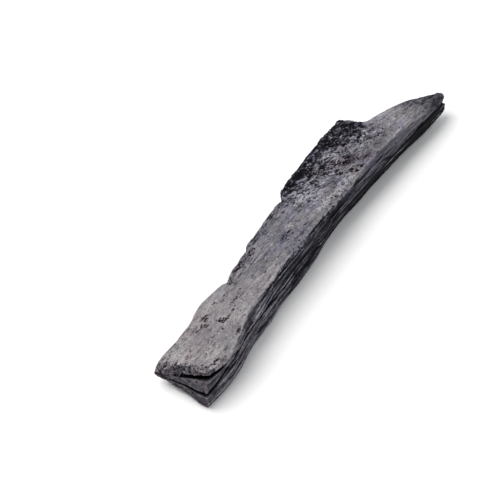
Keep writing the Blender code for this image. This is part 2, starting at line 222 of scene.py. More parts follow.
def geometry_tree(name, inputs):
    """A Geometry Nodes tree with a geometry input and output, and named numbers as inputs."""
    tree = bpy.data.node_groups.new(name, "GeometryNodeTree")
    tree.is_modifier = True
    tree.interface.new_socket(name="Geometry", in_out="INPUT", socket_type="NodeSocketGeometry")
    for label, default, distance in inputs:
        input_named(tree, label, default, distance)
    tree.interface.new_socket(name="Geometry", in_out="OUTPUT", socket_type="NodeSocketGeometry")
    return tree


def store(formula, geometry, name, value):
    inputs = {"Geometry": geometry, "Name": name, "Value": value}
    made = formula.node(
        "GeometryNodeStoreNamedAttribute", inputs, data_type="FLOAT", domain="POINT"
    )
    return made.outputs["Geometry"]


def finish_tree(formula, geometry, material):
    """Ends a tree in Realize Instances and Set Material."""
    realized = formula.node("GeometryNodeRealizeInstances", {"Geometry": geometry})
    inputs = {"Geometry": realized.outputs[0], "Material": material}
    coloured = formula.node("GeometryNodeSetMaterial", inputs)
    output = formula.node("NodeGroupOutput")
    formula.feed(output.inputs[0], coloured.outputs[0])


def blurred(formula, value, iterations, kind="FLOAT"):
    return formula.field(
        "GeometryNodeBlurAttribute", "Value", {"Value": value, "Iterations": iterations},
        data_type=kind,
    )


# Rounds of smoothing, for the shape, its directions, its edges, its hollows and its openness
SHAPE_ROUNDS = 3
DIRECTION_ROUNDS = 6
EDGE_ROUNDS = 30
HOLLOW_ROUNDS = 8
OPENNESS_ROUNDS = 2

# Directions spread evenly over a ball, for looking out from each point of the skin
LOOKOUTS = [
    Vector((a, b, c)).normalized()
    for a in (-1, 1)
    for b in (-1, 1)
    for c in (-1, 1)
] + [Vector(axis) * sign for axis in ((1, 0, 0), (0, 1, 0), (0, 0, 1)) for sign in (-1, 1)]
LOOKOUT_REACH = 0.012
LOOKOUT_LIFT = 0.0004
LOOKOUT_SPREAD = 0.96


def openness(formula, geometry, position, normal):
    """1 where a point of the skin sees only open air, and near 0 deep in a check."""
    start = formula.vector("ADD", position, formula.scale(normal, LOOKOUT_LIFT))
    total = None
    for lookout in LOOKOUTS:
        direction = formula.vector("ADD", normal, tuple(lookout * LOOKOUT_SPREAD))
        inputs = {
            "Target Geometry": geometry,
            "Source Position": start,
            "Ray Direction": direction,
            "Ray Length": LOOKOUT_REACH,
        }
        ray = formula.node("GeometryNodeRaycast", inputs)
        is_hit, distance = Field(formula, ray.outputs["Is Hit"]), ray.outputs["Hit Distance"]
        near = is_hit * (1.0 - Field(formula, distance) / LOOKOUT_REACH)
        total = near if total is None else total + near
    return blurred(formula, 1.0 - total / len(LOOKOUTS), OPENNESS_ROUNDS)


# Places on the part, in millimetres: lines along it as (x, y) or (x, z), from end to end
LEFT_EDGE = [
    (-125, 7.5), (-108, 9), (-87, 11.6), (-76, 11.5), (-63.5, 8), (-55, 11), (-38, 14), (-18, 15.6),
    (-2, 16.2), (1, 19.5), (12, 21.5), (31, 23.7), (64, 22.3), (70, 12.5), (98, 7), (125, -6.6),
]
CREST_HEIGHT = [
    (-125, 20.2), (-103, 19.3), (-89, 22.9), (-81, 23.6), (-45, 24.2), (-20, 23.7), (0, 22.7),
    (20, 21.2), (48, 21.7), (76, 20.7), (92, 18.7), (125, 12.5),
]
LONG_CHECK = [
    (-125, 8.2), (-116, 9.4), (-110, 11.0), (-100, 13.6), (-89, 14.6), (-75, 14.6), (-57, 11.4),
    (-38, 10.5), (-23, 9.2), (10, 8.0), (125, 8.0),
]
# The rim of the broken end, as (y, x)
RIM = [(-22, -115), (-19, -118.5), (-14.6, -120), (-8.5, -121), (-3, -122), (1, -124), (10, -125)]
# The direction of the branch stub that the flare grew around
BRANCH_ALONG = (0.85, -0.53)
# A separate shell with fewer points than this is a bubble inside the skin
BUBBLE_POINTS = 4000.0

# Burnt and crusty marks on the split top: middle, reach along and across, turn and strength
Blot = namedtuple("Blot", "x y along across turn strength")
BLOTS = [
    Blot(-96.0, 1.5, 5.5, 2.2, -28.0, 0.75),
    Blot(-88.5, 2.5, 4.5, 2.0, -35.0, 0.8),
    Blot(-87.0, -7.0, 5.0, 2.6, -30.0, 1.0),
    Blot(-93.0, -1.0, 3.4, 1.8, -20.0, 0.85),
    Blot(-74.0, -4.0, 4.0, 1.8, 0.0, 0.65),
    Blot(-74.0, 1.5, 4.4, 2.0, 10.0, 0.5),
    Blot(-112.0, -4.0, 6.5, 1.9, 24.0, 0.5),
    Blot(-107.0, -10.5, 2.6, 1.8, 60.0, 0.35),
    Blot(-90.0, -17.0, 3.6, 1.7, 20.0, 0.9),
    Blot(-62.5, 6.5, 3.6, 2.6, 30.0, 0.55),
    Blot(-54.0, 9.0, 7.0, 2.4, 8.0, 0.9),
    Blot(-44.0, 8.0, 5.0, 3.6, 25.0, 0.7),
    Blot(-25.0, -1.0, 3.6, 1.6, -10.0, 0.6),
    Blot(-27.0, -6.0, 3.4, 2.0, -30.0, 0.5),
    Blot(26.0, 6.0, 9.0, 2.2, -32.0, 0.8),
    Blot(33.0, -2.5, 9.0, 1.8, -36.0, 1.0),
    Blot(38.5, 3.0, 2.6, 1.7, 0.0, 1.1),
    Blot(46.0, 7.5, 5.0, 1.5, 0.0, 0.8),
    Blot(59.5, 7.0, 3.6, 1.6, 10.0, 0.9),
    Blot(67.0, -2.0, 3.4, 1.4, -20.0, 0.7),
    Blot(14.0, -7.6, 4.0, 1.5, -34.0, 0.9),
    Blot(22.0, 11.0, 7.0, 1.8, -34.0, 0.7),
    Blot(40.0, -5.5, 6.0, 1.3, -30.0, 0.8),
    Blot(-80.0, -9.0, 3.4, 1.2, -60.0, 0.8),
    Blot(-99.0, 5.0, 2.0, 1.2, 0.0, 0.7),
    Blot(-79.0, 4.0, 2.2, 1.4, 40.0, 0.8),
    Blot(-72.0, -5.6, 4.2, 1.0, 0.0, 0.6),
    Blot(-120.6, 2.8, 1.9, 1.3, 20.0, 1.0),
    Blot(-115.7, 4.1, 1.6, 1.1, 0.0, 0.85),
    Blot(-116.7, 6.6, 1.6, 1.1, 0.0, 0.95),
    Blot(-119.2, -2.2, 2.2, 1.2, 30.0, 0.85),
    Blot(-119.4, -9.6, 1.7, 1.1, 60.0, 0.9),
    Blot(-111.5, -18.2, 8.0, 1.1, -16.0, 0.85),
    Blot(-115.5, -5.5, 2.6, 1.4, 20.0, 0.85),
    Blot(-101.6, -8.5, 2.4, 1.1, 50.0, 0.7),
    Blot(-92.8, -9.0, 2.4, 1.1, -30.0, 0.7),
]
# Paler, crusty places on the split top
PALE_BLOTS = [
    Blot(-103.0, -12.0, 10.0, 5.0, 20.0, 0.6),
    Blot(-20.0, 0.0, 6.0, 3.5, 0.0, 0.5),
    Blot(5.0, 5.0, 9.0, 6.0, -30.0, 1.6),
    Blot(35.0, 6.0, 6.0, 4.0, -30.0, 0.9),
    Blot(16.0, -5.2, 20.0, 2.8, -3.0, 2.2),
    Blot(-108.0, 2.0, 13.0, 6.0, 10.0, 0.5),
    Blot(26.5, 19.0, 2.2, 1.2, -60.0, 3.4),
    Blot(53.0, 20.8, 1.2, 0.9, 0.0, 3.4),
    Blot(53.0, 14.2, 1.2, 1.0, 40.0, 2.6),
]

# The crease that runs from the flare's left edge to the crest, darkened by painted shade
CREASES = [
    Blot(21.0, 15.0, 13.0, 3.4, -34.0, 0.8),
    Blot(37.0, 5.0, 16.0, 4.6, -34.0, 1.0),
    Blot(50.0, -5.0, 8.0, 2.6, -30.0, 0.7),
]

# Marks on the side face, as x and z: scorched hollows, and ridges that caught ash
SIDE_BLOTS = [
    Blot(-84.0, 18.0, 8.0, 3.0, 12.0, 0.7),
    Blot(-62.0, 13.0, 14.0, 1.4, 4.0, 0.5),
    Blot(-30.0, 15.0, 9.0, 3.0, 3.0, 0.5),
    Blot(8.0, 15.5, 9.0, 2.2, 8.0, 0.6),
    Blot(93.5, 13.4, 5.5, 1.0, -3.0, 1.0),
    Blot(98.0, 8.0, 14.0, 1.6, 0.0, 0.8),
]
SIDE_RIDGES = [
    Blot(-72.5, 17.2, 9.0, 1.1, 5.0, 1.0),
    Blot(-69.0, 19.6, 8.0, 0.8, 4.0, 0.7),
    Blot(-20.0, 17.5, 12.0, 1.0, 3.0, 0.7),
    Blot(46.0, 18.4, 5.0, 0.8, 4.0, 1.0),
]

# Patterns of noise and cells: the size of their features along x, y and z in millimetres, their
# detail, the shift to a stretch of noise of their own, and their roughness
Pattern = namedtuple("Pattern", "size detail shift roughness", defaults=(2, 0.0, 0.5))
SHIFT_SHARES = (1.0, 1.7, 2.3)
WANDER_X = Pattern((5, 4, 4), 4, 3.0, 0.75)
WANDER_Y = Pattern((5, 4, 4), 4, 17.0, 0.75)
SPECKS = Pattern((2.2, 1.5, 1.6), 5, 43.0, 0.75)
THICKETS = Pattern((24, 12, 12), 2, 5.5)
CLUMPS = Pattern((4.4, 2.0, 2.4), 3, 6.5, 0.6)
FRAYED_PLACES = Pattern((32, 5, 3.4), 3, 45.0, 0.6)
LAYERS = Pattern((50, 14, 1.7), 3, 1.0, 0.55)
GRAIN = Pattern((26, 1.8, 2.4), 3, 5.0)
FINE_GRAIN = Pattern((3.6, 1.3, 1.3), 3, 9.0, 0.65)
LUMPS = Pattern((13, 7, 7), 3, 2.0)
KNOBS = Pattern((3.4, 3.0, 3.0), 3, 6.0, 0.6)
CHECK_BREAKS = Pattern((18, 5, 5), 1, 7.0)
HAIR_BREAKS = Pattern((9, 4, 4), 1, 8.0)
STUB_BREAKS = Pattern((7, 5, 5), 1, 15.0)
STUB_STREAKS = Pattern((9.0, 2.6, 3.0), 4, 33.0, 0.65)
STUB_LUMPS = Pattern((3.6, 2.8, 2.8), 5, 36.0, 0.7)
STREAKS = Pattern((20, 1.3, 1.5), 4, 21.0, 0.6)
CLOUDS = Pattern((15, 9, 9), 4, 23.0, 0.6)
MOTTLE = Pattern((3.6, 2.4, 2.4), 5, 24.0, 0.7)
GRIT = Pattern((1.3, 0.8, 0.8), 3, 25.0, 0.65)
FLECKS = Pattern((4.2, 2.0, 2.0), 4, 35.0, 0.7)
FLECK_PATCHES = Pattern((16, 9, 9), 2, 37.0)
ROUGH_PATCHES = Pattern((19, 11, 11), 1, 39.0)
SIDE_PATCHES = Pattern((24, 7, 3.6), 3, 47.0)
TINT_PATCHES = Pattern((14, 7, 7), 2, 27.0)
THREADS = Pattern((2.2, 0.35, 0.35), 3, 29.0)
CRUMB_SHADES = Pattern((0.9, 0.9, 0.9), 3, 31.0)
CLUSTERS = Pattern((9.0, 6.0, 6.0), 3, 53.0, 0.6)
CHECKS = Pattern((40, 9.0, 2.4), 1, 11.0)
HAIR_CRACKS = Pattern((16, 1.6, 1.6), 1, 12.0)
STUB_CHECKS = Pattern((12, 2.8, 3.4), 1, 13.0)
PITS = Pattern((1.7, 1.2, 1.2), shift=3.0)
# The floor's pattern is in metres, and the jags' in widths of a crumb
FLOOR_SHADES = Pattern((0.2, 0.2, 0.2), 2, 41.0)
JAGS = Pattern((0.45, 0.45, 0.45), 2, 51.0)
CHECK_WIDTH = 0.11
HAIR_WIDTH = 0.07
STUB_CHECK_WIDTH = 0.09

# Stretches along the stick, as the x where each begins to fade in and where it is full
NEAR_END = (-30.0, -85.0)
TOP_LAYER_BREAK = (-98.0, -106.0)
FAR_SIDE = (-66.0, -34.0)
LONG_CHECK_END = (-28.0, -44.0)
ROUGH_EDGE_START = (-66.0, -56.0)
ROUGH_EDGE_END = (4.0, -8.0)
BROW_START = (-66.0, -54.0)
BROW_END = (20.0, 6.0)
FLARE_START = (-9.0, 5.0)
FLARE_END = (76.0, 62.0)
BEVEL_START = (-2.0, 30.0)
# Where the painted shadow on the lower side towards the tip fades in and where it is full
LOW_SIDE_SHADOW = (10.0, 40.0)
SHELF_WIDENS = (36.0, 52.0)
BEYOND_FLARE = (58.0, 74.0)
TIP_CRACKS = (60.0, 100.0)
TIP_DARKENS = (86.0, 116.0)

# How far the flare reaches in from the left edge and up from the floor, in the same way
FLARE_REACH = (27.0, 15.0)
FLARE_LIFT = (10.0, 16.0)
# Where a mark fades in, as parts of its reach from its middle
MARK_FADE = (1.25, 0.35)

# The gap under the top layer of the broken end: its height at the right edge, and its fall
RIGHT_EDGE = -22.0
GAP_HEIGHT = 18.0
GAP_SLOPE = 0.2
GAP_BEND = 0.008

# Slopes of the skin, as parts of its outward direction
CARVED_TOP = (0.35, 0.8)
ASHY_TOP = (0.3, 0.8)
SIDEWAYS = (0.2, 0.7)
DOWNWARD = (-0.35, -0.8)
END_FACE = (0.5, 0.8)

# Ash on each kind of surface, from 0 for bare char to 1 for the thickest coat
TOP_ASH = 0.585
KNOT_ASH = 0.56
# Ash on the sides, lower than on the top partly as painted shade
SIDE_ASH_AND_SHADE = 0.49
END_ASH = 0.39
# Ash on the lower layers under the top layer, kept low as painted shade beneath the overhang
SHADED_LOWER_LAYER_ASH = 0.26
# Ash on the crumbled rim, kept low partly as painted edge shade
RIM_ASH_AND_SHADE = 0.37

# Fine relief that is only shaded, with its heights in metres, and how the surfaces reflect
BUMP_STRENGTH = 0.8
BUMP_DISTANCE = 0.00035
CRUMB_BUMP_DISTANCE = 0.0002
CHAR_SHINE = 0.04
FLOOR_ROUGHNESS = 0.9
FLOOR_SHADE = 0.985


def branch_point(formula, x, y, z):
    """The point in a frame turned along the branch stub that the flare grew around."""
    across = (-BRANCH_ALONG[1], BRANCH_ALONG[0])
    return formula.join(
        x * BRANCH_ALONG[0] + y * BRANCH_ALONG[1], x * across[0] + y * across[1], z
    )


def flare_clumps(formula, point, branch):
    """Clumps of char and ash that follow the branch stub, from about -1 to 1."""
    streaks = formula.noise(branch, STUB_STREAKS)
    return streaks * 0.55 + formula.noise(point, STUB_LUMPS) * 0.8


def under_top_layer(formula, x, y, z):
    """1 on the lower layers of the broken end, which the top layer has broken back from."""
    inward = y - RIGHT_EDGE
    gap_height = GAP_HEIGHT - inward * GAP_SLOPE - inward * inward * GAP_BEND
    return formula.rise(gap_height - z, -0.5, 0.5) * formula.rise(x, *TOP_LAYER_BREAK)


def flare_zone(formula, x, from_left):
    """1 on the knotty flare, fading out towards the crest and both ends."""
    along = formula.rise(x, *FLARE_START) * formula.rise(x, *FLARE_END)
    return along * formula.rise(from_left, *FLARE_REACH)


def blot_share(formula, x, y, blots):
    """How strong the listed marks are at a place on the split top."""
    total = None
    for blot in blots:
        turn = math.radians(blot.turn)
        over, aside = x - blot.x, y - blot.y
        along = (over * math.cos(turn) + aside * math.sin(turn)) / blot.along
        across = (aside * math.cos(turn) - over * math.sin(turn)) / blot.across
        share = formula.rise((along * along + across * across) ** 0.5, *MARK_FADE) * blot.strength
        total = share if total is None else formula.math("MAXIMUM", total, share)
    return total


def skin_places(f, position, normal):
    """Where each point of the skin lies, which way it faces, and how far marks wander there."""
    soft_normal = f.vector("NORMALIZE", blurred(f, normal, DIRECTION_ROUNDS, "FLOAT_VECTOR"))
    out_x, out_y, out_z = f.parts(soft_normal)
    point = f.scale(position, PER_METRE)
    x, y, z = f.parts(point)
    return SimpleNamespace(
        point=point,
        x=x,
        y=y,
        z=z,
        branch=branch_point(f, x, y, z),
        from_left=f.course(x, LEFT_EDGE) - y,
        below_crest=f.course(x, CREST_HEIGHT) - z,
        up=out_z,
        end=0.0 - out_x,
        top=f.rise(out_z, *CARVED_TOP),
        side=f.rise(0.0 - out_y, *SIDEWAYS),
        under=f.rise(out_z, *DOWNWARD),
        wander_x=f.noise(point, WANDER_X) * 6.0,
        wander_y=f.noise(point, WANDER_Y) * 4.0,
    )


def top_marks(f, here):
    """Burnt, smudged and pale marks on the top, and painted shade along a crease: those at known
    places, and scattered clumps.
    """
    x, y, wander_x, wander_y = here.x, here.y, here.wander_x, here.wander_y
    smudge = blot_share(f, x + wander_x * 0.8, y + wander_y * 0.7, BLOTS)
    burnt = f.rise(smudge * 0.84 + f.noise(here.point, SPECKS) * 1.6, 0.44, 0.84)
    thick = f.rise(f.noise(here.point, THICKETS), -0.02, 0.3)
    loose = f.join(x + wander_x, y + wander_y, here.z)
    clumps = f.rise(f.noise(loose, CLUMPS), 0.14, 0.36) * thick
    rough_edge = f.rise(here.from_left, 5.5, 1.0) * f.rise(x, *ROUGH_EDGE_START)
    rough_edge = rough_edge * f.rise(x, *ROUGH_EDGE_END)
    clumps = f.math("MAXIMUM", clumps * 0.7, rough_edge * f.rise(wander_x, -1.2, 0.8) * 0.9)
    burnt = f.math("MAXIMUM", burnt, clumps * 0.75) * here.top
    # Painted shade along the crease, which has no relief of its own
    crease = blot_share(f, x + wander_x * 0.5, y + wander_y * 0.5, CREASES) * here.top * 1.5
    smudge = f.math("MAXIMUM", smudge * 0.7 * here.top, crease)
    pale = blot_share(f, x + wander_x, y + wander_y, PALE_BLOTS)
    return burnt, smudge, pale


def side_marks(f, here):
    """Scorched hollows in the side face, and ridges on it that caught ash."""
    along = here.x + here.wander_x
    scorched = blot_share(f, along, here.z + here.wander_y * 0.4, SIDE_BLOTS)
    ridges = blot_share(f, along, here.z + here.wander_y * 0.3, SIDE_RIDGES)
    return scorched * here.side, ridges * here.side


def crumbled_edges(f, here, brink):
    """The crumbled brow beside the crest, and the rim of the top layer at the broken end."""
    x, y = here.x, here.y
    edge = f.rise(brink + here.wander_x * 0.07, 0.84, 0.62) * f.rise(here.below_crest, 5.5, 3.5)
    edge = edge * f.rise(y, 0.0, -4.0)
    brow = edge * f.rise(x, *BROW_START) * f.rise(x, *BROW_END)
    behind_rim = x - f.course(y, RIM) + here.wander_x * 0.6 - f.rise(y, -4.0, 3.0) * 2.0
    rim = f.rise(behind_rim, 3.2, 2.3) * (1.0 - under_top_layer(f, x, y, here.z))
    return brow, rim


def drying_checks(f, here, flare, layers):
    """1 along the fine checks, the hair cracks, the stub's checks and the long one in the side."""
    broken = f.rise(f.noise(here.point, CHECK_BREAKS), -0.12, 0.12)
    checks = f.line(here.point, CHECKS, CHECK_WIDTH) * broken * (1.0 - here.top)
    split = f.rise(abs(here.z - f.course(here.x, LONG_CHECK) + layers * 0.5), 1.1, 0.45)
    split = split * f.rise(here.x, *LONG_CHECK_END) * here.side
    hair = f.line(here.point, HAIR_CRACKS, HAIR_WIDTH)
    hair = hair * f.mix(f.rise(here.x, *TIP_CRACKS), 0.5, 1.0)
    hair = hair * f.rise(f.noise(here.point, HAIR_BREAKS), 0.12, 0.34)
    stub_checks = f.line(here.branch, STUB_CHECKS, STUB_CHECK_WIDTH) * flare
    stub_checks = stub_checks * f.rise(f.noise(here.point, STUB_BREAKS), -0.1, 0.2)
    crack = f.math("MAXIMUM", f.math("MAXIMUM", checks, hair * 0.6), stub_checks)
    return f.math("MAXIMUM", crack, split)


def outer_shell(f, geometry):
    """Only the outer shell, because the remesh can leave closed bubbles inside narrow checks."""
    island = f.node("GeometryNodeInputMeshIsland").outputs["Island Index"]
    size = f.field("GeometryNodeAccumulateField", "Total", {"Value": 1.0, "Group ID": island})
    small = f.math("LESS_THAN", size, BUBBLE_POINTS)
    kept = f.node("GeometryNodeDeleteGeometry", {"Geometry": geometry, "Selection": small})
    return kept.outputs[0]


def rested_on_floor(f, geometry, position):
    """Lifts what would go below the floor that the stick rests on."""
    x, y, z = f.parts(position)
    level = f.join(x, y, f.math("MAXIMUM", z, 0.0))
    return f.node("GeometryNodeSetPosition", {"Geometry": geometry, "Position": level}).outputs[0]


def skin_tree(material):
    """Raises fibres, checks, pits and knotty lumps on a smooth stick, and stores where they are."""
    tree = geometry_tree(
        "charred_skin",
        [
            ("Fibre Height", 0.0004, True),
            ("Check Depth", 0.0006, True),
            ("Pit Depth", 0.0005, True),
            ("Knot Roughness", 0.0010, True),
            ("Lump Height", 0.0003, True),
        ],
    )
    f = Formula(tree)
    given = f.node("NodeGroupInput").outputs
    fibre_height, check_depth, pit_depth, knot_height, lump_height = (
        Field(f, given[name])
        for name in ("Fibre Height", "Check Depth", "Pit Depth", "Knot Roughness", "Lump Height")
    )

    position = f.field("GeometryNodeInputPosition")
    normal = f.field("GeometryNodeInputNormal")
    smooth = f.node(
        "GeometryNodeSetPosition",
        {
            "Geometry": outer_shell(f, given["Geometry"]),
            "Position": blurred(f, position, SHAPE_ROUNDS, "FLOAT_VECTOR"),
        },
    ).outputs[0]

    here = skin_places(f, position, normal)
    # How open each point is; the material paints shade in checks and gaps from it
    geometry = store(f, smooth, "open", openness(f, smooth, position, normal))
    geometry = store(f, geometry, "up", here.up)
    geometry = store(f, geometry, "end", here.end)
    geometry = store(f, geometry, "brink", blurred(f, here.up, EDGE_ROUNDS))
    is_open = f.field("GeometryNodeInputNamedAttribute", "Attribute", {"Name": "open"})
    brink = f.field("GeometryNodeInputNamedAttribute", "Attribute", {"Name": "brink"})

    flare = flare_zone(f, here.x + here.wander_x, here.from_left + here.wander_y)
    flare = flare * f.rise(here.z, *FLARE_LIFT)
    burnt, smudge, pale = top_marks(f, here)
    scorched, ridges = side_marks(f, here)
    brow, rim = crumbled_edges(f, here, brink)
    fray = f.rise(f.noise(here.point, FRAYED_PLACES), 0.02, 0.26)
    fray = fray * (1.0 - here.top) * (1.0 - here.under)
    fray = f.math("MAXIMUM", fray, brow * 0.4)

    layers, grain, fine, lumps, knobs = (
        f.noise(here.point, pattern) for pattern in (LAYERS, GRAIN, FINE_GRAIN, LUMPS, KNOBS)
    )
    crack = drying_checks(f, here, flare, layers)
    away, lot = f.cells(here.point, PITS)
    pitted = f.clamp(flare * 0.45 + burnt * 0.4 + 0.03)
    pit = f.rise(away, 0.42, 0.14) * f.math("LESS_THAN", lot, pitted)

    for name, value in (
        ("flare", flare), ("burnt", burnt), ("rim", rim), ("crack", crack), ("pit", pit),
        ("ridge", f.mix(here.top, layers, grain)), ("from_left", here.from_left),
        ("pale", f.math("MAXIMUM", pale, ridges)),
        ("lower", under_top_layer(f, here.x, here.y, here.z)),
        ("brow", brow), ("scorched", scorched), ("smudge", smudge), ("fray", fray),
    ):
        geometry = store(f, geometry, name, value)

    stub = flare_clumps(f, here.point, here.branch)
    worn = f.rise(here.x, *NEAR_END) * here.top * 0.6 + f.rise(here.end, *END_FACE) * 0.65
    raised = fibre_height * (f.mix(here.top, layers, grain * 0.35) + fine * 0.5)
    raised = raised * (1.0 - f.clamp(worn))
    raised = raised + lump_height * lumps + knot_height * flare * (stub + knobs * 0.5)
    raised = raised + knot_height * (rim * 0.55 + brow * 0.6) * knobs + fibre_height * ridges
    sunk = check_depth * crack * f.mix(here.side, 0.6, 1.0)
    sunk = sunk + pit_depth * (pit + burnt * 0.7 + scorched * 0.8)
    calm = f.rise(is_open, 0.12, 0.45) * f.mix(here.under, 1.0, 0.25)
    offset = f.scale(normal, (raised - sunk) * calm)
    rough = f.node("GeometryNodeSetPosition", {"Geometry": geometry, "Offset": offset}).outputs[0]
    rested = rested_on_floor(f, rough, position)

    # How deep each point lies in a hollow; the material paints shade there from it
    lifted = f.vector("SUBTRACT", blurred(f, position, HOLLOW_ROUNDS, "FLOAT_VECTOR"), position)
    hollow = f.vector("DOT_PRODUCT", lifted, normal, output="Value") * PER_METRE
    finish_tree(f, store(f, rested, "hollow", hollow), material)
    return tree


def blank_material(name):
    """A material with an empty tree, and what writes formulas in it."""
    material = bpy.data.materials.new(name)
    material.use_nodes = True
    material.node_tree.nodes.clear()
    return material, Formula(material.node_tree)


def finish_material(f, inputs):
    """Ends a material's tree in one shader with these inputs."""
    shader = f.node("ShaderNodeBsdfPrincipled", inputs)
    output = f.node("ShaderNodeOutputMaterial")
    f.feed(output.inputs["Surface"], shader.outputs["BSDF"])


# What the skin's tree stores and its material reads
STORED = (
    "up", "end", "open", "hollow", "crack", "pit", "flare", "burnt", "scorched", "smudge", "pale",
    "rim", "brow", "lower", "ridge", "from_left",
)


def skin_looks(f):
    """What the ash depends on at each point: its place, the stored marks, and several noises."""
    point = f.scale(f.field("ShaderNodeTexCoord", "Object"), PER_METRE)
    x, y, z = f.parts(point)
    here = SimpleNamespace(point=point, x=x, z=z, **{name: f.attribute(name) for name in STORED})
    here.top = f.rise(here.up, *ASHY_TOP)
    here.near = f.rise(x, *NEAR_END)
    here.broken = f.rise(here.end, *END_FACE)
    here.streaks = f.noise(point, STREAKS)
    here.soft = f.noise(point, CLOUDS)
    here.mottle = f.noise(point, MOTTLE)
    here.grit = f.noise(point, GRIT)
    flecks = f.rise(f.noise(point, FLECKS), 0.14, 0.32)
    here.flecks = flecks * f.rise(f.noise(point, FLECK_PATCHES), -0.2, 0.2)
    here.stub = flare_clumps(f, point, branch_point(f, x, y, z))
    return here


def top_ash(f, here):
    """Ash on the split top, from the pale broken end past the knotty flare to the dark tip."""
    near, mottle, grit = here.near, here.mottle, here.grit
    shelf_width = 5.0 + f.rise(here.x, *SHELF_WIDENS) * 6.0
    shelf = here.flare * f.rise(here.from_left + mottle * 5.0 - shelf_width, 4.0, -0.5)
    ash = TOP_ASH + near * 0.15 + f.rise(here.x, *BEYOND_FLARE) * 0.19 + here.soft * 0.30
    ash = ash + mottle * f.mix(near, 0.40, 0.32)
    rough = f.noise(here.point, ROUGH_PATCHES) * 1.2 + 0.95
    ash = ash + here.streaks * f.mix(near, 0.34, 0.05)
    ash = ash + (grit * 0.36 - here.flecks * 0.42) * rough
    knotty = KNOT_ASH + here.stub * 1.5 + grit * 0.42 - shelf * 0.56
    ash = f.mix(here.flare * 0.92, ash, knotty) - f.rise(here.x, *TIP_DARKENS) * 0.52
    ash = ash + here.pale * (0.14 + grit * 0.6)
    ash = ash - here.burnt * (f.mix(near, 0.46, 0.36) - mottle * 0.6 - grit * 0.5)
    # The smudge holds burnt smudges and the painted shade of the crease
    return ash - here.smudge * (0.20 - grit * 0.5)


def side_ash(f, here):
    """Ash on the sides, blacker towards the far end, with ridges and a bevel by the far crest. The
    sides are darker than the top partly by painted shade, the lower side towards the tip by a painted
    shadow, and the bevel is lighter partly by painted light.
    """
    mottle, grit = here.mottle, here.grit
    far = f.rise(here.x, *FAR_SIDE)
    bevel = f.rise(here.x, *BEVEL_START) * f.rise(here.z + mottle * 1.5, 12.0, 14.5)
    lines = (here.ridge + here.streaks * 0.5) * (1.0 + far * 1.1) + mottle * 0.5 + grit * 0.38
    lines = lines + f.noise(here.point, SIDE_PATCHES) * far * 0.4
    calm = f.clamp(bevel * 0.5 + f.rise(here.z, 14.0, 18.0) * far * 0.5)
    # The bevel is lighter, partly from ash on its upward slope and partly from painted light
    ash = SIDE_ASH_AND_SHADE + lines * (1.0 - calm) - far * 0.38 + bevel * 0.32
    # Painted shadow that darkens the lower side towards the tip, except on the bevel
    ash = ash - f.rise(here.x, *LOW_SIDE_SHADOW) * (1.0 - bevel) * 0.54
    ash = ash + here.pale * 0.3 - here.scorched * 0.3
    broken = END_ASH + mottle * 0.32 + here.soft * 0.35 + grit * 0.15 - here.flecks * 0.25
    return f.mix(here.broken, ash, broken)


def whole_ash(f, here):
    """Ash all over: the top, the sides, the lower layers, the crumbled edges and the hollows. Painted
    shade darkens the lower layers under the top layer, and partly darkens the sides, the rim and the
    hollows and checks.
    """
    mottle, grit = here.mottle, here.grit
    # The sides take less ash than the top: partly ash lying on what faces up, partly painted shade on
    # the sides
    ash = f.mix(here.top, side_ash(f, here), top_ash(f, here))
    # Painted shade on the upward faces of the lower layers, beneath the overhanging top layer
    ash = f.mix(here.lower * here.top, ash, SHADED_LOWER_LAYER_ASH + mottle * 0.4)
    # The crumbled rim of the top layer is darker: partly crumbled char, partly painted edge shade
    on_rim = RIM_ASH_AND_SHADE + mottle * 0.9 + grit * 0.9 - here.flecks * 0.4
    ash = f.mix(here.rim * 0.9, ash, on_rim)
    ash = ash + here.brow * (0.02 + mottle * 1.0 + grit * 0.8)
    # Painted shade in hollows and deep in checks and gaps, where little open air is seen: partly bare
    # char with less ash, partly shade
    ash = (ash - here.hollow * 1.1) * f.rise(here.open, 0.45, 0.85)
    return f.clamp(ash * (1.0 - here.crack * 0.85) * (1.0 - here.pit * 0.6))


def skin_colour(f, here, ash, settings):
    """Black char to pale ash, tinted cool along the grain and warm at the broken end."""
    ramp = f.node("ShaderNodeValToRGB", {"Fac": ash})
    stops = [
        (0.0, settings.char_colour),
        (0.25, settings.soot_colour),
        (0.55, settings.grey_colour),
        (0.78, settings.ash_colour),
        (1.0, settings.pale_colour),
    ]
    elements = ramp.color_ramp.elements
    while len(elements) < len(stops):
        elements.new(0.5)
    for element, (place, colour) in zip(elements, stops):
        element.position = place
        element.color = (*colour, 1.0)
    tint = f.noise(here.point, TINT_PATCHES)
    cool = f.rise(tint, -0.25, 0.25) * (1.0 - here.near) + here.flare * 0.5
    cool = f.clamp(cool + (1.0 - here.top) * 0.6)
    warm = f.rise(tint, 0.25, -0.25) * here.near * 0.5 + here.smudge + here.broken * 0.5
    tinted = f.tint(ramp.outputs["Color"], cool, settings.cool_tint)
    return f.tint(tinted, f.clamp(warm), settings.warm_tint)


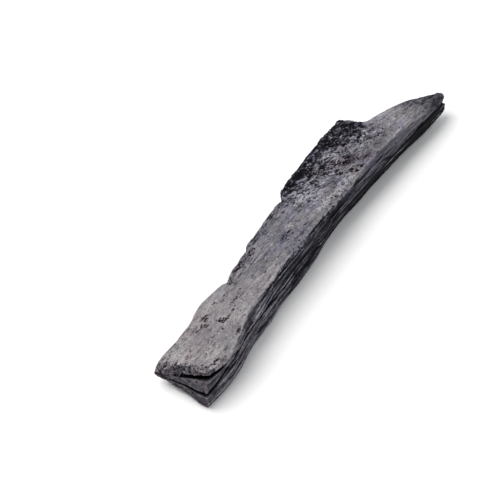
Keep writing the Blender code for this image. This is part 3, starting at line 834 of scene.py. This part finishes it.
def skin_material(settings):
    """Charred wood with grey ash that lies thickest on what faces up, and sides darkened partly by
    painted shade.
    """
    material, f = blank_material("charred_wood")
    here = skin_looks(f)
    ash = whole_ash(f, here)
    worn = f.clamp(here.near * here.top * 0.65 + here.broken * 0.6)
    threads = here.streaks * 0.25 + f.noise(here.point, THREADS) * 0.25
    height = here.stub * here.flare * 0.5 + here.grit * 0.3 - here.flecks * 0.3
    height = height + (here.mottle * 0.45 + threads) * (1.0 - worn)
    bump = f.node(
        "ShaderNodeBump",
        {"Strength": BUMP_STRENGTH, "Distance": BUMP_DISTANCE, "Height": height},
    )
    finish_material(
        f,
        {
            "Base Color": skin_colour(f, here, ash, settings),
            "Roughness": f.rise(ash, 0.0, 0.4) * 0.36 + 0.56,
            "Normal": bump.outputs["Normal"],
            "Specular IOR Level": CHAR_SHINE,
        },
    )
    return material


def crumb_material(name, dark, light):
    """Matt crumbs, each mottled between two colours."""
    material, f = blank_material(name)
    point = f.scale(f.field("ShaderNodeTexCoord", "Object"), PER_METRE)
    share = f.clamp(f.noise(point, CRUMB_SHADES) + 0.5)
    colour = f.node(
        "ShaderNodeMix", {0: share, 6: (*dark, 1.0), 7: (*light, 1.0)}, data_type="RGBA"
    )
    bump = f.node("ShaderNodeBump", {"Distance": CRUMB_BUMP_DISTANCE, "Height": share})
    finish_material(
        f,
        {
            "Base Color": colour.outputs[2],
            "Roughness": 0.75 + share * 0.2,
            "Normal": bump.outputs["Normal"],
        },
    )
    return material


def floor_material(settings):
    """A pale floor that is hardly uneven in colour."""
    material, f = blank_material("pale_floor")
    point = f.field("ShaderNodeTexCoord", "Object")
    share = f.clamp(f.noise(point, FLOOR_SHADES) + 0.5)
    base = settings.floor_colour
    faint = tuple(FLOOR_SHADE * value for value in base)
    colour = f.node(
        "ShaderNodeMix", {0: share, 6: (*faint, 1.0), 7: (*base, 1.0)}, data_type="RGBA"
    )
    finish_material(f, {"Base Color": colour.outputs[2], "Roughness": FLOOR_ROUGHNESS})
    return material


def link(obj):
    bpy.context.scene.collection.objects.link(obj)
    return obj


def merged_copy(name):
    """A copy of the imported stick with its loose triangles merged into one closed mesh."""
    mesh = bmesh.new()
    mesh.from_mesh(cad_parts[NODE].data)
    bmesh.ops.remove_doubles(mesh, verts=mesh.verts, dist=MERGE_DISTANCE)
    data = bpy.data.meshes.new(name)
    mesh.to_mesh(data)
    mesh.free()
    return link(bpy.data.objects.new(name, data))


def set_inputs(modifier, values):
    """Sets a Geometry Nodes modifier's inputs, named as in its tree."""
    for item in modifier.node_group.interface.items_tree:
        if item.item_type == "SOCKET" and item.in_out == "INPUT" and item.name in values:
            modifier[item.identifier] = values[item.name]


def plain_piece(obj, name):
    """Replaces an object and its modifiers by a plain mesh object at the origin."""
    bpy.context.view_layer.update()
    depsgraph = bpy.context.evaluated_depsgraph_get()
    mesh = bpy.data.meshes.new_from_object(
        obj.evaluated_get(depsgraph), preserve_all_data_layers=True, depsgraph=depsgraph
    )
    bpy.data.objects.remove(obj)
    mesh.name = name
    piece = link(bpy.data.objects.new(name, mesh))
    if not mesh.polygons:
        raise RuntimeError(f"{name} came out empty")
    return piece


def thin_to(piece, most):
    """Thins a mesh where it is flattest, down to a number of triangles."""
    mesh = piece.data
    triangles = sum(len(polygon.vertices) - 2 for polygon in mesh.polygons)
    if triangles > most:
        thin = piece.modifiers.new("thin", "DECIMATE")
        thin.ratio = most / triangles
        depsgraph = bpy.context.evaluated_depsgraph_get()
        piece.data = bpy.data.meshes.new_from_object(
            piece.evaluated_get(depsgraph), preserve_all_data_layers=True, depsgraph=depsgraph
        )
        piece.modifiers.remove(thin)
        piece.data.name = piece.name
    for polygon in piece.data.polygons:
        polygon.use_smooth = True


# The sizes of crumbs as parts of the usual size, then their jags, width, turns and seeds
SMALLEST = 0.3
LARGEST = 1.3
JAGGEDNESS = 0.7
NARROWNESS = 0.65
FIBRE_STRAY = 0.03
FIBRE_LIFT = 0.02
SCATTER_SEED = 7
TURN_SEED = 3


def scatter_tree(name, place, material, along_grain):
    """Scatters small rough lumps over the skin, where an attribute of it is high."""
    tree = geometry_tree(
        name,
        [
            ("Size", 0.001, True),
            ("Density", 1000.0, False),
            ("Flatness", 0.5, False),
            ("Length", 1.0, False),
        ],
    )
    seed = tree.interface.new_socket(name="Seed", in_out="INPUT", socket_type="NodeSocketInt")
    seed.default_value = SCATTER_SEED
    f = Formula(tree)
    given = f.node("NodeGroupInput").outputs
    share = f.field("GeometryNodeInputNamedAttribute", "Attribute", {"Name": place})
    is_open = f.field("GeometryNodeInputNamedAttribute", "Attribute", {"Name": "open"})
    upward = f.field("GeometryNodeInputNamedAttribute", "Attribute", {"Name": "up"})
    spread = f.scale(f.field("GeometryNodeInputPosition"), PER_METRE)
    clusters = f.rise(f.noise(spread, CLUSTERS), 0.0, 0.35)
    lowest = -0.4 if along_grain else 0.1
    wanted = f.rise(share, 0.25, 0.7) * f.rise(is_open, 0.7, 0.9) * clusters
    wanted = wanted * f.rise(upward, lowest, lowest + 0.4)
    scattered = f.node(
        "GeometryNodeDistributePointsOnFaces",
        {
            "Mesh": given["Geometry"],
            "Density": wanted * Field(f, given["Density"]),
            "Seed": given["Seed"],
        },
    )
    ball = f.node("GeometryNodeMeshIcoSphere", {"Radius": 0.5, "Subdivisions": 1})
    place_in = f.field("GeometryNodeInputPosition")
    jag = f.noise(place_in, JAGS)
    lump = f.node(
        "GeometryNodeSetPosition",
        {"Geometry": ball.outputs["Mesh"], "Offset": f.scale(place_in, jag * JAGGEDNESS)},
    )
    size = f.field(
        "FunctionNodeRandomValue", 1, {2: SMALLEST, 3: LARGEST, "Seed": given["Seed"]},
        data_type="FLOAT",
    ) * Field(f, given["Size"])
    turn = f.field(
        "FunctionNodeRandomValue", 1, {2: -math.pi, 3: math.pi, "Seed": TURN_SEED}, data_type="FLOAT"
    )
    if along_grain:
        grain = f.join(1.0, 0.0, turn * FIBRE_STRAY)
        inputs = {"Rotation": scattered.outputs["Rotation"], "Vector": grain}
        laid = f.node("FunctionNodeAlignRotationToVector", inputs, axis="X", pivot_axis="Z")
        lift = f.join(0.0, turn * FIBRE_LIFT, 0.0)
    else:
        laid, lift = scattered, f.join(0.0, 0.0, turn)
    turned = f.node(
        "FunctionNodeRotateRotation",
        {"Rotation": laid.outputs["Rotation"], "Rotate By": lift},
        rotation_space="LOCAL",
    )
    copies = f.node(
        "GeometryNodeInstanceOnPoints",
        {
            "Points": scattered.outputs["Points"],
            "Instance": lump.outputs[0],
            "Rotation": turned.outputs[0],
            "Scale": f.join(
                size * Field(f, given["Length"]), size * NARROWNESS, size * Field(f, given["Flatness"])
            ),
        },
    )
    finish_tree(f, copies.outputs[0], material)
    return tree


def length_setting(name, description, default, **limits):
    return bpy.props.FloatProperty(
        name=name, description=description, default=default, unit="LENGTH", precision=5, **limits
    )


def colour_setting(name, description, default):
    return bpy.props.FloatVectorProperty(
        name=name, description=description, default=default, subtype="COLOR", size=len(default)
    )


class StickSettings(bpy.types.PropertyGroup):
    """Sizes and colours of the stick's skin."""

    cell: length_setting("Mesh Cell", "Spacing of the skin's mesh", 0.00042, min=0.0003, max=0.002)
    most_triangles: bpy.props.IntProperty(
        name="Most Triangles", description="The skin is thinned to this many triangles",
        default=194000, min=20000, max=199000,
    )
    fibre_height: length_setting(
        "Fibre Height", "Height of the wood fibres and growth layers", 0.0006
    )
    check_depth: length_setting("Check Depth", "Depth of the fine drying checks", 0.0007)
    pit_depth: length_setting("Pit Depth", "Depth of the burnt pits", 0.0006)
    knot_roughness: length_setting("Knot Roughness", "Height of the lumps round the knot", 0.0011)
    lump_height: length_setting("Lump Height", "Height of the soft lumps all over", 0.0004)
    char_colour: colour_setting("Char", "Deep cracks and burnt edges", (0.004, 0.004, 0.005))
    soot_colour: colour_setting("Soot", "Bare charred wood", (0.024, 0.0243, 0.030))
    grey_colour: colour_setting("Grey", "Charred wood under thin ash", (0.118, 0.114, 0.123))
    ash_colour: colour_setting("Ash", "Ash coat", (0.213, 0.203, 0.214))
    pale_colour: colour_setting("Pale Ash", "Thickest ash", (0.34, 0.33, 0.33))
    cool_tint: colour_setting(
        "Cool Tint", "Bluish streaks along the grain", (0.94, 0.94, 1.07, 1.0)
    )
    warm_tint: colour_setting(
        "Warm Tint", "Warm patches at the broken end", (1.04, 0.93, 0.93, 1.0)
    )


class CrumbSettings(bpy.types.PropertyGroup):
    """Sizes and colours of what clings to the skin."""

    flake_size: length_setting("Flake Size", "Width of a usual flake of ash", 0.0008)
    flake_density: bpy.props.FloatProperty(
        name="Flakes", description="Flakes on a square metre of the knotty flare", default=220000.0
    )
    crumb_size: length_setting("Crumb Size", "Width of a usual crumb of char", 0.0011)
    crumb_density: bpy.props.FloatProperty(
        name="Crumbs", description="Crumbs on a square metre of burnt wood", default=900000.0
    )
    fibre_width: length_setting("Fibre Width", "Width of a usual lifted fibre", 0.0006)
    fibre_density: bpy.props.FloatProperty(
        name="Fibres", description="Lifted fibres on a square metre of frayed wood",
        default=450000.0,
    )
    seed: bpy.props.IntProperty(
        name="Seed", description="Which scatter is made", default=SCATTER_SEED
    )
    flake_dark: colour_setting("Flake Shade", "Darker parts of a flake", (0.10, 0.098, 0.106))
    flake_light: colour_setting("Flake Light", "Lighter parts of a flake", (0.30, 0.295, 0.31))
    crumb_dark: colour_setting("Crumb Shade", "Darker parts of a crumb", (0.012, 0.012, 0.015))
    crumb_light: colour_setting("Crumb Light", "Lighter parts of a crumb", (0.075, 0.073, 0.080))
    fibre_dark: colour_setting(
        "Fibre Shade", "Darker parts of a lifted fibre", (0.014, 0.014, 0.018)
    )
    fibre_light: colour_setting(
        "Fibre Light", "Lighter parts of a lifted fibre", (0.090, 0.089, 0.102)
    )


class StageSettings(bpy.types.PropertyGroup):
    """The floor, the lights and the camera."""

    floor_colour: colour_setting("Floor", "Colour of the floor", (0.90, 0.90, 0.90))
    floor_size: length_setting("Floor Size", "Width of the floor", 6.0)
    key_power: bpy.props.FloatProperty(
        name="Key Light", description="Power of the soft key light in watts", default=12.0
    )
    sky_strength: bpy.props.FloatProperty(
        name="Sky", description="Strength of the even light from all round", default=0.63
    )
    camera_distance: length_setting(
        "Camera Distance", "From the lens to the middle of the view", 0.7683
    )
    lens: bpy.props.FloatProperty(
        name="Lens", description="Focal length in millimetres", default=110.0
    )


class CHARCOAL_OT_stick(bpy.types.Operator):
    """Make the charred skin of the stick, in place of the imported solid"""

    bl_idname = "charcoal.make_stick"
    bl_label = "Make Stick"

    def execute(self, context):
        settings = context.scene.charcoal_stick
        obj = merged_copy("stick_shape")
        remesh = obj.modifiers.new("even_mesh", "REMESH")
        remesh.mode = "VOXEL"
        remesh.voxel_size = settings.cell * 1.0
        skin = obj.modifiers.new("charred_skin", "NODES")
        skin.node_group = skin_tree(skin_material(settings))
        set_inputs(
            skin,
            {
                "Fibre Height": settings.fibre_height,
                "Check Depth": settings.check_depth,
                "Pit Depth": settings.pit_depth,
                "Knot Roughness": settings.knot_roughness,
                "Lump Height": settings.lump_height,
            },
        )
        piece = plain_piece(obj, SKIN)
        thin_to(piece, settings.most_triangles)
        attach(piece, BODY)
        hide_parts(NODE)
        return {"FINISHED"}


Scatter = namedtuple("Scatter", "name place material size density flatness length")


class CHARCOAL_OT_crumbs(bpy.types.Operator):
    """Make the ash flakes, char crumbs and lifted fibres that cling to the skin"""

    bl_idname = "charcoal.make_crumbs"
    bl_label = "Make Crumbs"

    def execute(self, context):
        settings = context.scene.charcoal_crumbs
        skin = bpy.data.objects.get(SKIN)
        if skin is None:
            raise RuntimeError("The stick's skin has to be made before its crumbs")
        flake = crumb_material("ash_flake", settings.flake_dark, settings.flake_light)
        crumb = crumb_material("char_crumb", settings.crumb_dark, settings.crumb_light)
        fibre = crumb_material("lifted_fibre", settings.fibre_dark, settings.fibre_light)
        kinds = (
            Scatter(
                "ash_flakes", "flare", flake, settings.flake_size, settings.flake_density,
                flatness=0.35, length=1.0,
            ),
            Scatter(
                "char_crumbs", "burnt", crumb, settings.crumb_size, settings.crumb_density,
                flatness=0.6, length=1.0,
            ),
            Scatter(
                "lifted_fibres", "fray", fibre, settings.fibre_width, settings.fibre_density,
                flatness=0.5, length=13.0,
            ),
        )
        for offset, kind in enumerate(kinds):
            name, place, material, size, density, flatness, length = kind
            obj = link(bpy.data.objects.new(name + "_source", skin.data.copy()))
            scatter = obj.modifiers.new("scatter", "NODES")
            scatter.node_group = scatter_tree(name, place, material, length > 1.0)
            set_inputs(
                scatter,
                {
                    "Size": size,
                    "Density": density,
                    "Flatness": flatness,
                    "Length": length,
                    "Seed": settings.seed + offset,
                },
            )
            piece = plain_piece(obj, name)
            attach(piece, BODY)
        return {"FINISHED"}


class CHARCOAL_OT_stage(bpy.types.Operator):
    """Make the pale floor, the soft lights and the camera"""

    bl_idname = "charcoal.make_stage"
    bl_label = "Make Stage"

    def execute(self, context):
        settings = context.scene.charcoal_stage
        make_floor(settings)
        make_lights(settings)
        make_camera(settings)
        return {"FINISHED"}


# The view: the point looked at, the direction back from it to the camera, the width of the
# sensor in millimetres, and the nearest and farthest distance seen
LOOK_AT = Vector((-0.0343, 0.0139, 0.0107))
LOOK_BACK = Vector((-0.5829, -0.3929, 0.7112)).normalized()
SENSOR_WIDTH = 36.0
SEEN_DEPTHS = (0.01, 20.0)

# The key light, the even light from all round, and the floor
KEY_AIM = Vector((-0.021, -0.006, 0.011))
KEY_DIRECTION = Vector((-0.16, 0.50, 1.0)).normalized()
KEY_DISTANCE = 1.1
KEY_SIZE = 0.9
KEY_COLOUR = (1.0, 0.985, 0.965)
SKY_COLOUR = (0.97, 0.985, 1.0, 1.0)
FLOOR_CELLS = 8
# The floor lies this far under the stick, so that no faces of the two coincide
FLOOR_GAP = 0.00002


def make_floor(settings):
    mesh = bmesh.new()
    bmesh.ops.create_grid(
        mesh, x_segments=FLOOR_CELLS, y_segments=FLOOR_CELLS, size=settings.floor_size / 2
    )
    data = bpy.data.meshes.new("floor")
    mesh.to_mesh(data)
    mesh.free()
    data.materials.append(floor_material(settings))
    data.transform(Matrix.Translation((0.0, 0.0, -FLOOR_GAP)))
    floor = link(bpy.data.objects.new("floor", data))


def make_lights(settings):
    light = bpy.data.lights.new("key", "AREA")
    light.shape = "DISK"
    light.size = KEY_SIZE
    light.energy = settings.key_power
    light.color = KEY_COLOUR
    key = link(bpy.data.objects.new("key", light))
    key.location = KEY_AIM + KEY_DIRECTION * KEY_DISTANCE
    key.rotation_euler = KEY_DIRECTION.to_track_quat("Z", "Y").to_euler()
    world = bpy.data.worlds.new("even_light")
    world.use_nodes = True
    background = world.node_tree.nodes["Background"]
    background.inputs["Color"].default_value = SKY_COLOUR
    background.inputs["Strength"].default_value = settings.sky_strength
    bpy.context.scene.world = world
    bpy.context.scene.view_settings.view_transform = "Standard"


def make_camera(settings):
    data = bpy.data.cameras.new("camera")
    data.lens = settings.lens
    data.sensor_width = SENSOR_WIDTH
    data.clip_start, data.clip_end = SEEN_DEPTHS
    camera = link(bpy.data.objects.new("camera", data))
    right = Vector((0.0, 0.0, 1.0)).cross(LOOK_BACK).normalized()
    up = LOOK_BACK.cross(right)
    turn = Matrix((right, up, LOOK_BACK)).transposed().to_4x4()
    camera.matrix_world = Matrix.Translation(LOOK_AT + LOOK_BACK * settings.camera_distance) @ turn
    bpy.context.scene.camera = camera


class CHARCOAL_PT_panel(bpy.types.Panel):
    """Lists what the add-on makes"""

    bl_idname = "CHARCOAL_PT_panel"
    bl_label = "Charcoal Stick"
    bl_space_type = "VIEW_3D"
    bl_region_type = "UI"
    bl_category = "Charcoal"

    def draw(self, context):
        for operator, group in STEPS:
            self.layout.operator(operator.bl_idname)
            settings = getattr(context.scene, group)
            for name in settings.bl_rna.properties.keys():
                if name not in ("rna_type", "name"):
                    self.layout.prop(settings, name)


STEPS = (
    (CHARCOAL_OT_stick, "charcoal_stick"),
    (CHARCOAL_OT_crumbs, "charcoal_crumbs"),
    (CHARCOAL_OT_stage, "charcoal_stage"),
)
GROUPS = {
    "charcoal_stick": StickSettings,
    "charcoal_crumbs": CrumbSettings,
    "charcoal_stage": StageSettings,
}
CLASSES = (*GROUPS.values(), *(operator for operator, group in STEPS), CHARCOAL_PT_panel)


def register():
    for each in CLASSES:
        bpy.utils.register_class(each)
    for name, group in GROUPS.items():
        setattr(bpy.types.Scene, name, bpy.props.PointerProperty(type=group))


def unregister():
    for name in GROUPS:
        delattr(bpy.types.Scene, name)
    for each in reversed(CLASSES):
        bpy.utils.unregister_class(each)


def main():
    register()
    bpy.ops.charcoal.make_stick()
    bpy.ops.charcoal.make_crumbs()
    bpy.ops.charcoal.make_stage()


if __name__ == "__main__":
    main()
